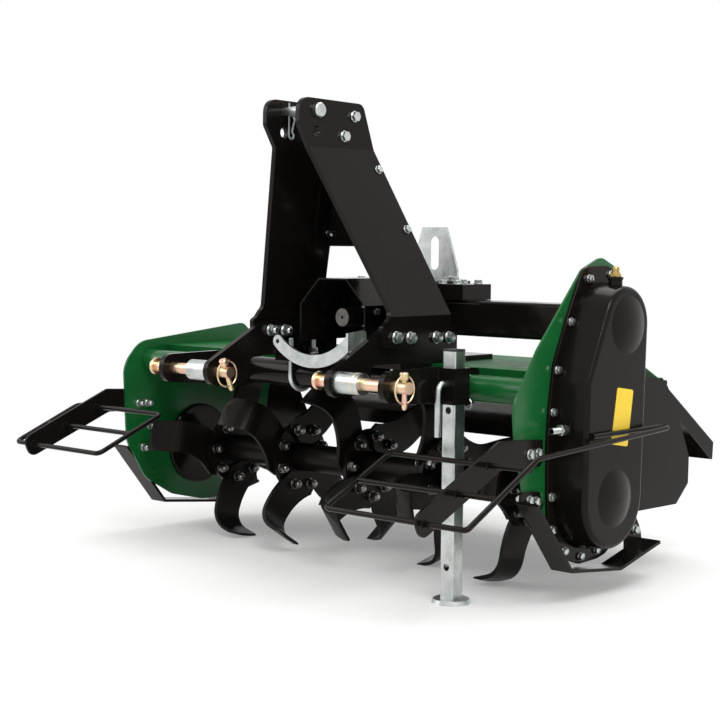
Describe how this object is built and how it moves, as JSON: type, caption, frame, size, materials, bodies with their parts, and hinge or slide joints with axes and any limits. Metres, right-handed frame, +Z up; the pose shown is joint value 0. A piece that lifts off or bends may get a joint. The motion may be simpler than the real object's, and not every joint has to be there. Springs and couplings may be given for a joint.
{
  "type": "rotary tiller",
  "caption": "Tractor-mounted rotary tiller: A-frame hitch, gearbox, side chain drive, bladed rotor under a hood with a hinged rear door, skids, front guards and a parking stand.",
  "frame": {"origin": "centre of the end face of the power take-off input stub", "axes": "+Y backwards, away from the tractor; -Y along the input stub towards the tractor; +X across the machine towards the chain case; +Z up"},
  "size_m": [1.241, 0.9756, 0.9244],
  "materials": {
    "green_paint": "gloss dark green paint",
    "black_coat": "gloss black powder coat",
    "tine_black": "satin black paint on forged steel",
    "zinc": "bright zinc plate",
    "yellow_zinc": "yellow passivated zinc with a pink tint",
    "dark_steel": "oiled machined steel",
    "black_plastic": "matt moulded plastic",
    "brass": "dull brass"
  },
  "bodies": {
    "frame": {"beam_saddle": "black_coat", "bearing_housing": "black_coat", "chain_cover": "black_coat", "chain_flange": "black_coat", "chain_tensioner": "zinc", "cross_tube": "green_paint", "door_bracket": "zinc", "drive_beam": "black_coat", "ear_plates": "black_coat", "filler_cap": "brass", "gearbox": "black_coat", "gearbox_cradle": "black_coat", "gearbox_top_plate": "black_coat", "guard_arms": "black_coat", "guard_bars_left": "black_coat", "guard_bars_right": "black_coat", "headstock_plates": "black_coat", "hinge_rod": "yellow_zinc", "hitch_sleeves": "zinc", "hood_deck": "green_paint", "lower_pins": "yellow_zinc", "lynch_pins": "yellow_zinc", "mast_brace": "black_coat", "mast_plates": "black_coat", "mast_spacers": "zinc", "pto_rest": "zinc", "pto_shield": "black_coat", "side_plate_left": "green_paint", "side_plate_right": "green_paint", "skids": "black_coat", "stand_socket": "black_coat", "top_link_pin": "zinc", "tube_clamp": "zinc", "tube_saddle": "black_coat", "tube_sleeve": "black_coat", "wings": "black_coat"},
    "rotor": {"rotor_shaft": "tine_black", "tines": "tine_black"},
    "stub": {"pto_shaft": "dark_steel"},
    "door": {"rear_door": "black_coat"},
    "stand": {"stand_leg": "zinc", "stand_cap": "black_plastic", "stand_foot": "zinc", "stand_pin": "zinc", "stand_clip": "zinc"}
  },
  "joints": [
    {"name": "rotor_spin", "type": "hinge", "parent": "frame", "child": "rotor", "pos_m": [0, 0.172, -0.3175], "axis": [1, 0, 0], "continuous": true},
    {"name": "stub_spin", "type": "hinge", "parent": "frame", "child": "stub", "pos_m": [0, 0, 0], "axis": [0, 1, 0], "continuous": true},
    {"name": "rear_door", "type": "hinge", "parent": "frame", "child": "door", "pos_m": [0, 0.453, -0.126], "axis": [1, 0, 0], "range_deg": [0, 55]},
    {"name": "stand_slide", "type": "slide", "parent": "frame", "child": "stand", "axis": [0, 0, 1], "range_m": [0, 0.336]}
  ],
  "couplings": [
    {"joint": "stub_spin", "follows": "rotor_spin", "ratio": 2.57}
  ]
}
